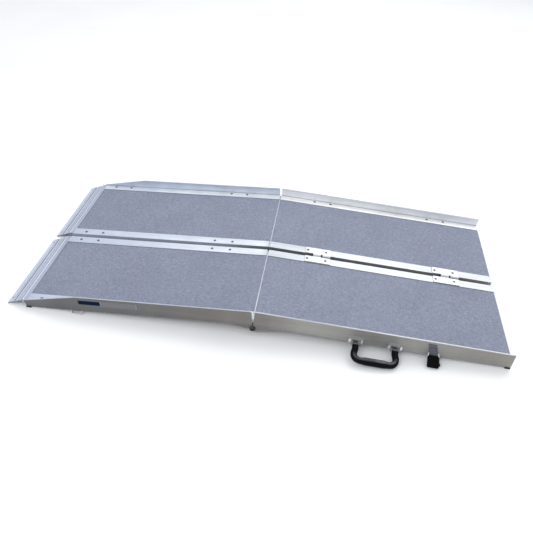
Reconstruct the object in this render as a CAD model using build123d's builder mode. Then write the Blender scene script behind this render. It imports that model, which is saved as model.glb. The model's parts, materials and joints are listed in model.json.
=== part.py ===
from build123d import *
import os
from math import asin, atan, atan2, cos, degrees, hypot, radians, sin, tan

# Portable wheelchair ramp that folds in four. Two halves lie side by side, and each half is an
# entry section and a landing section joined by low pivots at mid length. Millimetres, +Z up.
# +X runs from the transition plates to the square end, +Y to the left half, and z = 0 is the
# floor that the open ramp stands on. The origin is under the middle of the ramp.

os.makedirs("parts", exist_ok=True)

# ---- Plan sizes ----
RAMP_WIDTH = 742.0          # over the two side rails
CENTRE_GAP = 18.0           # between the two halves
ENTRY_LENGTH = 742.0        # mid pivot to transition-plate hinge
LANDING_LENGTH = 782.0      # mid pivot to square end
OUTER = RAMP_WIDTH / 2
INNER = CENTRE_GAP / 2

# ---- Heights above the mid pivot, square to each section ----
RAIL_BOTTOM = 13.5
DECK_TOP = 34.5             # top of the deck plate
TREAD_TOP = 35.5
STRIP_TOP = 37.5            # top of the rail flanges, seen as strips along the deck
RAIL_TOP = 66.5
HUMP_ANGLE = 6.45           # between the two sections when the ramp stands open

# ---- Sheet and section thicknesses ----
SIDE_WALL = 4.0             # upright web of a side rail
CENTRE_WALL = 3.0           # web of a centre rail
SIDE_STRIP = 36.0           # width of a side rail's flange, web included
CENTRE_STRIP = 33.7
DECK_PLATE = 2.5
DECK_UNDER = DECK_TOP - DECK_PLATE
TREAD_MARGIN = 0.3          # tread sheet to metal, all round

# ---- Entry end ----
TAPER_START = -560.0        # the side rail starts to slope down here
RAIL_TIP = -731.0
TIP_TOP = 38.5
LEAF_EDGE = -725.0          # inner edge of the fixed hinge extrusion
PLATE_LENGTH = 58.0         # transition plate, hinge axis to nose
PLATE_UNDER = 2.0           # underside of the plate below its hinge axis
PLATE_AXIS_Z = 32.5
BEAD_RADIUS = 3.5
SOCKET_RADIUS = 3.6
SOCKET_OUTER = 6.0

# ---- Mid joint ----
EAR_RADIUS = 10.0
PIVOT_RADIUS = 5.0
PIVOT_CLEARANCE = 0.05
HINGE_PLATE = 4.5           # thickness of the entry section's inner hinge plates
HINGE_RELIEF = 0.5          # step that keeps a hinge plate's round end off the landing web
BUTT_BAR = 3.0
BUTT_GAP = 0.1              # each butt bar stops this far from the middle of the joint

# ---- Crossmembers and rivets ----
ENTRY_STATIONS = (-648.5, -165.0)
LANDING_STATIONS = (167.5, 615.5)
CHANNEL_WIDTH = 80.0
CHANNEL_DEPTH = 18.0
CHANNEL_WALL = 2.5
RIVET_SPACING = 64.0        # the pair of rivets at each station
RIVET_RADIUS = 2.35
RIVET_HOLE = 2.4
RIVET_HEAD = 4.6
SIDE_RIVET_Y = OUTER - 16.0
CENTRE_RIVET_Y = INNER + 15.5

# ---- Seam hinges between the two landing halves ----
SEAM_AXIS_Z = 41.0
LEAF = 2.5
LEAF_FROM = -40.0           # along X, from the station
LEAF_TO = 49.0
KNUCKLE_SPANS = ((-12.5, 15.0), (20.5, 48.5))
KNUCKLE_RADIUS = 5.0
SEAM_PIN_RADIUS = 2.5
SEAM_PIN_BORE = 2.56
LEAF_WIDTH = 41.0           # from the middle of the seam
LEAF_CLEAR = 9.0            # leaf edge to the seam, beside the other leaf's knuckle

# ---- Carry handle, strap and keeper loop ----
HANDLE_X = 374.7
HANDLE_LEGS = 119.0         # between the centres of the two brackets
HANDLE_PIVOT_OUT = 9.0      # pivot axis to the rail's outer face
HANDLE_PIVOT_Z = 17.0
GRIP_OUT = 55.0             # pivot axis to the middle of the grip
GRIP_RADIUS = 11.8
LEG_RADIUS = 10.0
PIN_RADIUS = 2.5
STRAP_X = 549.5
STRAP_LEAN = 11.0           # the webbing's top is this far towards the mid joint
STRAP_WIDTH = 25.0
STRAP_THICK = 1.5
LOOP_X = -563.5
LOOP_WIDTH = 38.0
LOOP_REACH = 13.6           # below the rail, along the loop's slope
LOOP_SPLAY = 30.0           # degrees that the loop leans outward
LOOP_WIRE = 2.0

# ---- How the open ramp stands: the feet at both ends touch the floor ----
FOOT_EDGE = RAIL_BOTTOM - 3.0
hump = radians(HUMP_ANGLE)
entry_reach = hypot(RAIL_TIP, FOOT_EDGE)
landing_reach = hypot(LANDING_LENGTH, FOOT_EDGE)
entry_foot_angle = atan(FOOT_EDGE / -RAIL_TIP)
landing_foot_angle = atan(FOOT_EDGE / LANDING_LENGTH)
spread = hump - entry_foot_angle - landing_foot_angle
entry_rise = atan2(landing_reach * sin(spread), entry_reach + landing_reach * cos(spread))
ENTRY_TILT = entry_rise + entry_foot_angle
LANDING_TILT = hump - ENTRY_TILT
PIVOT_HEIGHT = entry_reach * sin(entry_rise)


def droop(height, reach, underside):
    """Angle below level at which a hinged piece this long, and this deep below its axis, meets the floor."""
    return asin(height / hypot(reach, underside)) - atan(underside / reach)


# The transition plates reach further from the pivots than the square end does, so the pivots
# stand this far along X from the middle of the ramp.
plate_axis_height = PIVOT_HEIGHT + PLATE_AXIS_Z * cos(ENTRY_TILT) - ENTRY_LENGTH * sin(ENTRY_TILT)
plate_axis_x = -ENTRY_LENGTH * cos(ENTRY_TILT) - PLATE_AXIS_Z * sin(ENTRY_TILT)
PLATE_DROOP = droop(plate_axis_height, PLATE_LENGTH, PLATE_UNDER)
low_end = plate_axis_x - PLATE_LENGTH * cos(PLATE_DROOP)
high_end = LANDING_LENGTH * cos(LANDING_TILT) + RAIL_TOP * sin(LANDING_TILT)
X_SHIFT = -(low_end + high_end) / 2

# Each section has its own frame: x = 0 and z = 0 on the mid pivot axis, x along the deck.
ENTRY = Plane(
    origin=(X_SHIFT, 0, PIVOT_HEIGHT),
    x_dir=(cos(ENTRY_TILT), 0, sin(ENTRY_TILT)),
    z_dir=(-sin(ENTRY_TILT), 0, cos(ENTRY_TILT)),
)
LANDING = Plane(
    origin=(X_SHIFT, 0, PIVOT_HEIGHT),
    x_dir=(cos(LANDING_TILT), 0, -sin(LANDING_TILT)),
    z_dir=(sin(LANDING_TILT), 0, cos(LANDING_TILT)),
)


def side_view(section, y):
    """Plane across the section at this y: sketch x is along the deck, sketch y is up."""
    return Plane(section.location * Plane.XZ.offset(-y).location)


def end_view(section, x):
    """Plane square to the deck at this x: sketch x is +Y, sketch y is up."""
    return Plane(section.location * Plane.YZ.offset(x).location)


def top_view(section, z):
    """Plane along the deck at this height above the pivots."""
    return Plane(section.location * Plane.XY.offset(z).location)


def floor_z(section, x):
    """Height of the floor in a section's own frame at this x."""
    if section is ENTRY:
        return -(PIVOT_HEIGHT + x * sin(ENTRY_TILT)) / cos(ENTRY_TILT)
    return -(PIVOT_HEIGHT - x * sin(LANDING_TILT)) / cos(LANDING_TILT)


def span(low, high):
    """Middle and length of the stretch from low to high."""
    return (low + high) / 2, high - low


def write_part(piece, node):
    """Label a finished piece and write its STEP file."""
    piece.part.label = node
    export_step(piece.part, f"parts/{node}.step")


def write_both_halves(piece, name):
    """Write a piece of the right half, and its mirror image for the left half."""
    write_part(piece, f"right_{name}")
    with BuildPart() as left:
        mirror(piece.part, about=Plane.XZ)
    write_part(left, f"left_{name}")


def block(section, x_range, y_range, z_range):
    """Add a rectangular block to the open part, from ranges in the section's frame."""
    x_mid, length = span(*x_range)
    y_mid, width = span(*y_range)
    with BuildSketch(top_view(section, z_range[0])) as outline:
        with Locations((x_mid, y_mid)):
            Rectangle(length, width)
    extrude(outline.sketch, amount=z_range[1] - z_range[0])


def rivet_points(stations):
    """Rivet places (x, y) of one half's section: a pair over each end of each crossmember."""
    points = []
    for station in stations:
        for step in (-RIVET_SPACING / 2, RIVET_SPACING / 2):
            points.append((station + step, -SIDE_RIVET_Y))
            points.append((station + step, -CENTRE_RIVET_Y))
    return points


def drill_rivet_holes(section, stations):
    """Cut the rivet holes down through the open part."""
    with BuildSketch(top_view(section, 0)) as outline:
        with Locations(*rivet_points(stations)):
            Circle(RIVET_HOLE)
    extrude(outline.sketch, amount=RAIL_TOP, mode=Mode.SUBTRACT)


def disc(section, y_from, y_to, x, z, radius, mode=Mode.ADD):
    """Add or cut a round piece with its axis along Y."""
    with BuildSketch(side_view(section, y_from)) as outline:
        with Locations((x, z)):
            Circle(radius)
    extrude(outline.sketch, amount=y_from - y_to, mode=mode)


# ---------------------------------------------------------------- side and centre rails

RAIL_CORNER = 5.0           # rounded top corner of the entry side rail at the mid joint
EAR_LENGTH = 88.0           # the landing rails are deeper over this length, for the pivot
EAR_STEP = 3.0              # and end in a small step
EAR_SLOPE_START = (3.0, -9.5)           # where the ear's lower edge leaves its round end
WEB_END_GAP = 0.8           # square-cut rail ends stop short of the pivot line
BRACKET_LENGTH = 44.0       # handle brackets, along the rail
BRACKET_RIVET_SPAN = 36.0
BRACKET_RIVET_Z = 21.0
BRACKET_RIVET_HOLE = 2.05
BRACKET_CENTRES = (HANDLE_X - HANDLE_LEGS / 2, HANDLE_X + HANDLE_LEGS / 2)
BRACKET_RIVETS = [x + half * BRACKET_RIVET_SPAN / 2 for x in BRACKET_CENTRES for half in (-1, 1)]


def ear(section, y, thickness):
    """Add the deep end of a landing web, round about the pivot, from this y towards -Y."""
    with BuildSketch(side_view(section, y)) as outline:
        with BuildLine():
            Polyline(
                (WEB_END_GAP, RAIL_BOTTOM),
                (WEB_END_GAP, 0),
                (0, -EAR_RADIUS),
                EAR_SLOPE_START,
                (EAR_LENGTH, RAIL_BOTTOM - EAR_STEP),
                (EAR_LENGTH, RAIL_BOTTOM),
                close=True,
            )
        make_face()
        Circle(EAR_RADIUS)
        Circle(PIVOT_RADIUS, mode=Mode.SUBTRACT)
    extrude(outline.sketch, amount=thickness)


with BuildPart() as entry_side_rail:
    with BuildSketch(side_view(ENTRY, -OUTER + SIDE_WALL)):
        with BuildLine():
            Polyline(
                (-WEB_END_GAP, RAIL_BOTTOM),
                (-WEB_END_GAP, RAIL_TOP),
                (TAPER_START, RAIL_TOP),
                (RAIL_TIP, TIP_TOP),
                (RAIL_TIP, RAIL_BOTTOM),
                close=True,
            )
        outline = make_face()
        fillet(outline.vertices().group_by(Axis.Y)[-1].sort_by(Axis.X)[-1], RAIL_CORNER)
    extrude(amount=SIDE_WALL)
    block(ENTRY, (LEAF_EDGE, -WEB_END_GAP), (-OUTER + SIDE_WALL, -OUTER + SIDE_STRIP), (DECK_TOP, STRIP_TOP))
    drill_rivet_holes(ENTRY, ENTRY_STATIONS)
write_both_halves(entry_side_rail, "entry_side_rail")

with BuildPart() as landing_side_rail:
    block(LANDING, (WEB_END_GAP, LANDING_LENGTH), (-OUTER, -OUTER + SIDE_WALL), (RAIL_BOTTOM, RAIL_TOP))
    block(LANDING, (WEB_END_GAP, LANDING_LENGTH), (-OUTER, -OUTER + SIDE_STRIP), (DECK_TOP, STRIP_TOP))
    ear(LANDING, -OUTER + SIDE_WALL, SIDE_WALL)
    drill_rivet_holes(LANDING, LANDING_STATIONS)
    for hole_x in BRACKET_RIVETS:
        disc(LANDING, -OUTER + SIDE_WALL, -OUTER, hole_x, BRACKET_RIVET_Z, BRACKET_RIVET_HOLE, Mode.SUBTRACT)
write_both_halves(landing_side_rail, "landing_side_rail")

with BuildPart() as entry_centre_rail:
    block(ENTRY, (RAIL_TIP, -WEB_END_GAP), (-INNER - CENTRE_WALL, -INNER), (RAIL_BOTTOM, DECK_TOP))
    block(ENTRY, (LEAF_EDGE, -WEB_END_GAP), (-INNER - CENTRE_STRIP, -INNER), (DECK_TOP, STRIP_TOP))
    drill_rivet_holes(ENTRY, ENTRY_STATIONS)
write_both_halves(entry_centre_rail, "entry_centre_rail")

with BuildPart() as landing_centre_rail:
    block(LANDING, (WEB_END_GAP, LANDING_LENGTH), (-INNER - CENTRE_WALL, -INNER), (RAIL_BOTTOM, DECK_TOP))
    block(LANDING, (WEB_END_GAP, LANDING_LENGTH), (-INNER - CENTRE_STRIP, -INNER), (DECK_TOP, STRIP_TOP))
    ear(LANDING, -INNER, CENTRE_WALL)
    drill_rivet_holes(LANDING, LANDING_STATIONS)
write_both_halves(landing_centre_rail, "landing_centre_rail")

# ---------------------------------------------------------------- decks, treads and end bars

DECK_OUT = -OUTER + SIDE_WALL
DECK_IN = -INNER - CENTRE_WALL
DECK_START = 2.0            # deck plates stop this far from the pivot line, behind the butt bars
TREAD_LAP = 0.4             # tread sheets lap over the butt bars, past the pivot line
TREAD_END = 0.4             # and stop just short of the square end
DECK_TIP = -734.0           # the entry deck reaches under the hinge extrusion
END_BAR = 3.0

with BuildPart() as entry_deck:
    block(ENTRY, (DECK_TIP, -DECK_START), (DECK_OUT, DECK_IN), (DECK_UNDER, DECK_TOP))
    drill_rivet_holes(ENTRY, ENTRY_STATIONS)
write_both_halves(entry_deck, "entry_deck")

with BuildPart() as landing_deck:
    block(LANDING, (DECK_START, LANDING_LENGTH - END_BAR), (DECK_OUT, DECK_IN), (DECK_UNDER, DECK_TOP))
    drill_rivet_holes(LANDING, LANDING_STATIONS)
write_both_halves(landing_deck, "landing_deck")

tread_y = (-OUTER + SIDE_STRIP + TREAD_MARGIN, -INNER - CENTRE_STRIP - TREAD_MARGIN)
with BuildPart() as entry_tread:
    block(ENTRY, (LEAF_EDGE + TREAD_MARGIN, TREAD_LAP), tread_y, (DECK_TOP, TREAD_TOP))
write_both_halves(entry_tread, "entry_tread")

with BuildPart() as landing_tread:
    block(LANDING, (-TREAD_LAP, LANDING_LENGTH - TREAD_END), tread_y, (DECK_TOP, TREAD_TOP))
write_both_halves(landing_tread, "landing_tread")

BUTT_BOTTOM = 20.0          # butt bars stay above the round ends of the hinge plates
BUTT_LEDGE = 12.0           # length of the ledge under the deck plate


def butt_bar(section, direction):
    """Angle bar whose slanting face meets the other section's bar and stops the ramp opening further."""
    slope = tan(hump / 2)
    low_x = -direction * (BUTT_BOTTOM * slope - BUTT_GAP)
    high_x = -direction * (DECK_TOP * slope - BUTT_GAP)
    back_x = direction * DECK_START
    ledge_x = direction * (DECK_START + BUTT_LEDGE)
    with BuildSketch(side_view(section, DECK_IN)) as outline:
        with BuildLine():
            Polyline(
                (low_x, BUTT_BOTTOM),
                (high_x, DECK_TOP),
                (back_x, DECK_TOP),
                (back_x, DECK_UNDER),
                (ledge_x, DECK_UNDER),
                (ledge_x, DECK_UNDER - BUTT_BAR),
                (back_x, DECK_UNDER - BUTT_BAR),
                (back_x, BUTT_BOTTOM),
                close=True,
            )
        make_face()
    extrude(outline.sketch, amount=DECK_IN - DECK_OUT)


with BuildPart() as entry_butt_bar:
    butt_bar(ENTRY, -1)
write_both_halves(entry_butt_bar, "entry_butt_bar")

with BuildPart() as landing_end_bars:
    butt_bar(LANDING, 1)
    square_end = (LANDING_LENGTH - END_BAR, LANDING_LENGTH)
    ledge = (LANDING_LENGTH - END_BAR - BUTT_LEDGE, LANDING_LENGTH)
    block(LANDING, square_end, (DECK_OUT, DECK_IN), (BUTT_BOTTOM, DECK_TOP))
    block(LANDING, ledge, (DECK_OUT, DECK_IN), (DECK_UNDER - BUTT_BAR, DECK_UNDER))
write_both_halves(landing_end_bars, "landing_end_bars")

# ---------------------------------------------------------------- crossmembers and rivets

CHANNEL_BOTTOM = DECK_UNDER - CHANNEL_DEPTH


def crossmembers(section, stations):
    """Channels under the deck plate from web to web, with their legs down."""
    for station in stations:
        low, high = station - CHANNEL_WIDTH / 2, station + CHANNEL_WIDTH / 2
        with BuildSketch(side_view(section, DECK_IN)) as outline:
            with BuildLine():
                Polyline(
                    (low, CHANNEL_BOTTOM),
                    (low, DECK_UNDER),
                    (high, DECK_UNDER),
                    (high, CHANNEL_BOTTOM),
                    (high - CHANNEL_WALL, CHANNEL_BOTTOM),
                    (high - CHANNEL_WALL, DECK_UNDER - CHANNEL_WALL),
                    (low + CHANNEL_WALL, DECK_UNDER - CHANNEL_WALL),
                    (low + CHANNEL_WALL, CHANNEL_BOTTOM),
                    close=True,
                )
            make_face()
        extrude(outline.sketch, amount=DECK_IN - DECK_OUT)
    drill_rivet_holes(section, stations)


with BuildPart() as entry_crossmembers:
    crossmembers(ENTRY, ENTRY_STATIONS)
write_both_halves(entry_crossmembers, "entry_crossmembers")

with BuildPart() as landing_crossmembers:
    crossmembers(LANDING, LANDING_STATIONS)
write_both_halves(landing_crossmembers, "landing_crossmembers")

HEAD_RIM = 0.6              # straight lower part of a rivet head
HEAD_CROWN = 0.9
HEAD_SLOPE = 55             # degrees, of the crown's side
TAIL_RADIUS = 3.6
TAIL_LENGTH = 2.0


def rivets(section, points, seat):
    """Rivets through strip, deck plate and channel, with their heads seated at this height."""
    clench = DECK_UNDER - CHANNEL_WALL
    with BuildSketch(top_view(section, clench)) as outline:
        with Locations(*points):
            Circle(RIVET_RADIUS)
    extrude(outline.sketch, amount=seat - clench)
    with BuildSketch(top_view(section, seat)) as outline:
        with Locations(*points):
            Circle(RIVET_HEAD)
    extrude(outline.sketch, amount=HEAD_RIM)
    with BuildSketch(top_view(section, seat + HEAD_RIM)) as outline:
        with Locations(*points):
            Circle(RIVET_HEAD)
    extrude(outline.sketch, amount=HEAD_CROWN, taper=HEAD_SLOPE)
    with BuildSketch(top_view(section, clench)) as outline:
        with Locations(*points):
            Circle(TAIL_RADIUS)
    extrude(outline.sketch, amount=-TAIL_LENGTH)


with BuildPart() as entry_rivets:
    rivets(ENTRY, rivet_points(ENTRY_STATIONS), STRIP_TOP)
write_both_halves(entry_rivets, "entry_rivets")

landing_points = rivet_points(LANDING_STATIONS)
with BuildPart() as landing_rivets:
    rivets(LANDING, [point for point in landing_points if point[1] == -SIDE_RIVET_Y], STRIP_TOP)
    rivets(LANDING, [point for point in landing_points if point[1] == -CENTRE_RIVET_Y], STRIP_TOP + LEAF)
write_both_halves(landing_rivets, "landing_rivets")

# ---------------------------------------------------------------- mid pivots

HINGE_PLATE_LENGTH = 72.0
HINGE_PLATE_TOP = 28.0
HINGE_PLATE_DIP = 5.0       # the plates reach this far below the rails
BOLT_HEAD_RADIUS = 9.0
BOLT_HEAD = 5.0
BOLT_SOCKET = 3.0           # radius of the hex socket
BOLT_SOCKET_DEPTH = 2.5
BOLT_CHAMFER = 1.6
BOLT_PROUD = 1.0            # bolt beyond its nut
NUT_RADIUS = 9.0
NUT = 8.0
NUT_GAP = 0.1


def hinge_plate(web_face, inward):
    """Plate inside an entry web, with a round end that turns on the pivot bolt."""
    relieved = web_face + inward * HINGE_RELIEF
    inside = web_face + inward * HINGE_PLATE
    with BuildSketch(side_view(ENTRY, relieved)) as outline:
        with BuildLine():
            Polyline(
                (0, -EAR_RADIUS),
                (-HINGE_PLATE_LENGTH, RAIL_BOTTOM - HINGE_PLATE_DIP),
                (-HINGE_PLATE_LENGTH, HINGE_PLATE_TOP),
                (-BUTT_LEDGE - 2 * DECK_START, HINGE_PLATE_TOP),
                (0, EAR_RADIUS),
                close=True,
            )
        make_face()
        Circle(EAR_RADIUS)
        Circle(PIVOT_RADIUS, mode=Mode.SUBTRACT)
    extrude(outline.sketch, amount=relieved - inside)
    with BuildSketch(side_view(ENTRY, web_face)) as outline:
        x_mid, length = span(-HINGE_PLATE_LENGTH, -BUTT_LEDGE - 2 * DECK_START)
        z_mid, height = span(RAIL_BOTTOM + HINGE_RELIEF, HINGE_PLATE_TOP)
        with Locations((x_mid, z_mid)):
            Rectangle(length, height)
    extrude(outline.sketch, amount=web_face - inside)


def pivot_bolt(head_face, inward, wall):
    """Button-head bolt through the landing web and the hinge plate."""
    head_top = head_face - inward * BOLT_HEAD
    tip = head_face + inward * (wall + HINGE_PLATE + NUT_GAP + NUT + BOLT_PROUD)
    disc(LANDING, head_face, head_top, 0, 0, BOLT_HEAD_RADIUS)
    disc(LANDING, head_face, tip, 0, 0, PIVOT_RADIUS - PIVOT_CLEARANCE)
    with BuildSketch(side_view(LANDING, head_top)) as outline:
        RegularPolygon(BOLT_SOCKET, 6)
    extrude(outline.sketch, amount=-inward * BOLT_SOCKET_DEPTH, mode=Mode.SUBTRACT)


def pivot_nut(web_face, inward):
    """Locknut inside the hinge plate."""
    seat = web_face + inward * (HINGE_PLATE + NUT_GAP)
    with BuildSketch(side_view(LANDING, seat)) as outline:
        RegularPolygon(NUT_RADIUS, 6)
        Circle(PIVOT_RADIUS - PIVOT_CLEARANCE, mode=Mode.SUBTRACT)
    extrude(outline.sketch, amount=-inward * NUT)


with BuildPart() as entry_hinge_plates:
    hinge_plate(DECK_OUT, 1)
    hinge_plate(DECK_IN, -1)
write_both_halves(entry_hinge_plates, "entry_hinge_plates")

with BuildPart() as pivot_bolts:
    pivot_bolt(-OUTER, 1, SIDE_WALL)
    pivot_bolt(-INNER, -1, CENTRE_WALL)
    rims = pivot_bolts.edges().filter_by(GeomType.CIRCLE)
    head_rims = rims.group_by(SortBy.RADIUS)[-1].sort_by(Axis.Y)
    chamfer([head_rims[0], head_rims[-1]], BOLT_CHAMFER)
write_both_halves(pivot_bolts, "pivot_bolts")

with BuildPart() as pivot_nuts:
    pivot_nut(DECK_OUT, 1)
    pivot_nut(DECK_IN, -1)
write_both_halves(pivot_nuts, "pivot_nuts")

# ---------------------------------------------------------------- entry end: hinge and transition plates

SOCKET_OPENS = (80, 240)    # degrees about the hinge axis, from +X towards +Z, that the socket leaves open
LEAF_PLATE = 2.5
WEDGE_STEPS = 5

with BuildPart() as end_hinge:
    with BuildSketch(side_view(ENTRY, DECK_IN)):
        with Locations((-ENTRY_LENGTH, PLATE_AXIS_Z)):
            Circle(SOCKET_OUTER)
        leaf_mid, leaf_length = span(-ENTRY_LENGTH, LEAF_EDGE)
        with Locations((leaf_mid, DECK_TOP + LEAF_PLATE / 2)):
            Rectangle(leaf_length, LEAF_PLATE)
        with Locations((-ENTRY_LENGTH, PLATE_AXIS_Z)):
            Circle(SOCKET_RADIUS, mode=Mode.SUBTRACT)
            with BuildLine():
                opening = [(0, 0)]
                for step in range(WEDGE_STEPS + 1):
                    turn = SOCKET_OPENS[0] + (SOCKET_OPENS[1] - SOCKET_OPENS[0]) * step / WEDGE_STEPS
                    reach = 2 * SOCKET_OUTER
                    opening.append((reach * cos(radians(turn)), reach * sin(radians(turn))))
                Polyline(*[(x - ENTRY_LENGTH, z + PLATE_AXIS_Z) for x, z in opening], close=True)
        make_face(mode=Mode.SUBTRACT)
    extrude(amount=DECK_IN - DECK_OUT)
write_both_halves(end_hinge, "end_hinge")

PLATE_TOP = 2.0             # top of the plate above its hinge axis
NECK = 1.2                  # half thickness of the neck behind the bead
NECK_END = 7.0              # the plate is thick from here to its nose
NOSE_BEVEL = 6.0
NOSE_EDGE = -0.6            # top of the nose, against the hinge axis
PLATE_INSET = 2.0           # plate ends inside the socket's ends
MAIN_GROOVE = (29.0, 5.0, 2.0)          # distance from the hinge, width, depth
FINE_GROOVES = (14.0, 18.5, 38.0)       # distances from the hinge
FINE_GROOVE = (1.0, 0.6)    # width, depth
PLATE_HOLE_RADIUS = 2.75
PLATE_HOLE_OUT = 44.5       # from the hinge
PLATE_HOLE_END = 20.0       # from the plate's end

plate_outward = (-cos(PLATE_DROOP), 0, -sin(PLATE_DROOP))
plate_up = (-sin(PLATE_DROOP), 0, cos(PLATE_DROOP))
plate_origin = (plate_axis_x + X_SHIFT, 0, plate_axis_height)
PLATE_SIDE = Plane(origin=plate_origin, x_dir=plate_outward, z_dir=(0, 1, 0))
PLATE_FACE = Plane(origin=plate_origin, x_dir=plate_outward, z_dir=plate_up)
plate_low = DECK_OUT + PLATE_INSET
plate_high = DECK_IN - PLATE_INSET

with BuildPart() as transition_plate:
    with BuildSketch(PLATE_SIDE.offset(plate_low)):
        Circle(BEAD_RADIUS)
        with Locations((NECK_END / 2, 0)):
            Rectangle(NECK_END, 2 * NECK)
        with BuildLine():
            Polyline(
                (NECK_END, -PLATE_UNDER),
                (NECK_END, PLATE_TOP),
                (PLATE_LENGTH - NOSE_BEVEL, PLATE_TOP),
                (PLATE_LENGTH, NOSE_EDGE),
                (PLATE_LENGTH, -PLATE_UNDER),
                close=True,
            )
        make_face()
        with Locations((MAIN_GROOVE[0], PLATE_TOP)):
            Rectangle(MAIN_GROOVE[1], 2 * MAIN_GROOVE[2], mode=Mode.SUBTRACT)
        with Locations(*[(groove, PLATE_TOP) for groove in FINE_GROOVES]):
            Rectangle(FINE_GROOVE[0], 2 * FINE_GROOVE[1], mode=Mode.SUBTRACT)
    extrude(amount=plate_high - plate_low)
    with BuildSketch(PLATE_FACE):
        # The plate's face looks up, so its sketch y runs towards the right.
        with Locations(
            (PLATE_HOLE_OUT, -plate_low - PLATE_HOLE_END),
            (PLATE_HOLE_OUT, -plate_high + PLATE_HOLE_END),
        ):
            Circle(PLATE_HOLE_RADIUS)
    extrude(amount=2 * PLATE_TOP, both=True, mode=Mode.SUBTRACT)
write_both_halves(transition_plate, "transition_plate")

# ---------------------------------------------------------------- seam hinges and their pins


def seam_leaf(side, knuckle):
    """Leaves of one half, side -1 on the right and 1 on the left, each with one knuckle."""
    for station in LANDING_STATIONS:
        leaf_x = (station + LEAF_FROM, station + LEAF_TO)
        knuckle_x = (station + knuckle[0], station + knuckle[1])
        plate_y = sorted((side * LEAF_CLEAR, side * LEAF_WIDTH))
        arm_y = sorted((0, side * LEAF_CLEAR))
        block(LANDING, leaf_x, plate_y, (STRIP_TOP, STRIP_TOP + LEAF))
        block(LANDING, knuckle_x, arm_y, (STRIP_TOP, STRIP_TOP + LEAF))
        with BuildSketch(end_view(LANDING, knuckle_x[0])) as outline:
            with Locations((0, SEAM_AXIS_Z)):
                Circle(KNUCKLE_RADIUS)
        extrude(outline.sketch, amount=knuckle_x[1] - knuckle_x[0])
        with BuildSketch(end_view(LANDING, knuckle_x[0])) as outline:
            with Locations((0, SEAM_AXIS_Z)):
                Circle(SEAM_PIN_BORE)
        extrude(outline.sketch, amount=knuckle_x[1] - knuckle_x[0], mode=Mode.SUBTRACT)
        hole_points = [(station + half * RIVET_SPACING / 2, side * CENTRE_RIVET_Y) for half in (-1, 1)]
        with BuildSketch(top_view(LANDING, STRIP_TOP)) as outline:
            with Locations(*hole_points):
                Circle(RIVET_HOLE)
        extrude(outline.sketch, amount=LEAF, mode=Mode.SUBTRACT)


with BuildPart() as right_seam_leaves:
    seam_leaf(-1, KNUCKLE_SPANS[0])
write_part(right_seam_leaves, "right_seam_leaves")

with BuildPart() as left_seam_leaves:
    seam_leaf(1, KNUCKLE_SPANS[1])
write_part(left_seam_leaves, "left_seam_leaves")

PIN_TIP = 48.5              # along X, from the station
PIN_HEAD_AT = -14.0
PIN_HEAD = 4.0
PIN_HEAD_RADIUS = 3.8
PIN_CHAMFER = 1.0

for number, station in enumerate(LANDING_STATIONS, start=1):
    with BuildPart() as seam_pin:
        with BuildSketch(end_view(LANDING, station + PIN_HEAD_AT)):
            with Locations((0, SEAM_AXIS_Z)):
                Circle(SEAM_PIN_RADIUS)
        extrude(amount=PIN_TIP - PIN_HEAD_AT)
        with BuildSketch(end_view(LANDING, station + PIN_HEAD_AT)):
            with Locations((0, SEAM_AXIS_Z)):
                Circle(PIN_HEAD_RADIUS)
        extrude(amount=-PIN_HEAD)
        head_rim = seam_pin.edges().filter_by(GeomType.CIRCLE).sort_by(Axis.X)[0]
        chamfer(head_rim, PIN_CHAMFER)
    write_part(seam_pin, f"seam_pin_{number}")

# ---------------------------------------------------------------- carry handle

EYE_RADIUS = 6.0
EYE_WIDTH = 16.0
EYE_NECK = 9.0              # thickness of the neck between an eye and the moulding
EYE_LAP = 2.0               # and how far it reaches into the moulding
PIN_BORE = 2.56
EAR_INSIDE = 11.4           # half the space between the ears of a bracket
EAR_PLATE = 2.5
BRACKET_PLATE = 2.5
BRACKET_TOP = 31.0
HOOD_REACH = 6.0            # folded top of a bracket, out from the rail
LEG_START = 6.5             # the moulding starts this far from the pivot, flattened to the eye's depth
LEG_ROUND = 17.0            # and is round from here
SHOULDER = (62.5, 30.0)     # where the legs stop spreading: half width, reach
HANDLE_CORNER = 19.0
GRIP_HALF = 28.0            # half length of the grip's thick part
GRIP_TAPER = (16.0, 9.4)    # length of its tapered ends, and their last radius, inside the round bar
PIN_PROUD = 1.5
FIT_GAP = 0.03              # between pieces of one node that are pressed together
BRACKET_RIVET_HEAD = 3.6
handle_low_x = HANDLE_X + SHOULDER[0]
handle_height = (HANDLE_PIVOT_Z - floor_z(LANDING, handle_low_x)) * cos(LANDING_TILT)
HANDLE_DROOP = asin((handle_height - GRIP_RADIUS) / GRIP_OUT)


def swung_plane(x, out, z, angle):
    """Plane of a piece that hangs out from the right rail: sketch y points outward and down."""
    swing = Location((x, -OUTER - out, z), (180 + degrees(angle), 0, 0))
    return Plane(LANDING.location * swing)


HANDLE_PLANE = swung_plane(HANDLE_X, HANDLE_PIVOT_OUT, HANDLE_PIVOT_Z, HANDLE_DROOP)


def reach_plane(plane, reach):
    """Plane square to a swung plane, this far out along it: sketch x is along the rail."""
    return Plane(plane.location * Plane.XZ.offset(-reach).location)


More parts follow.
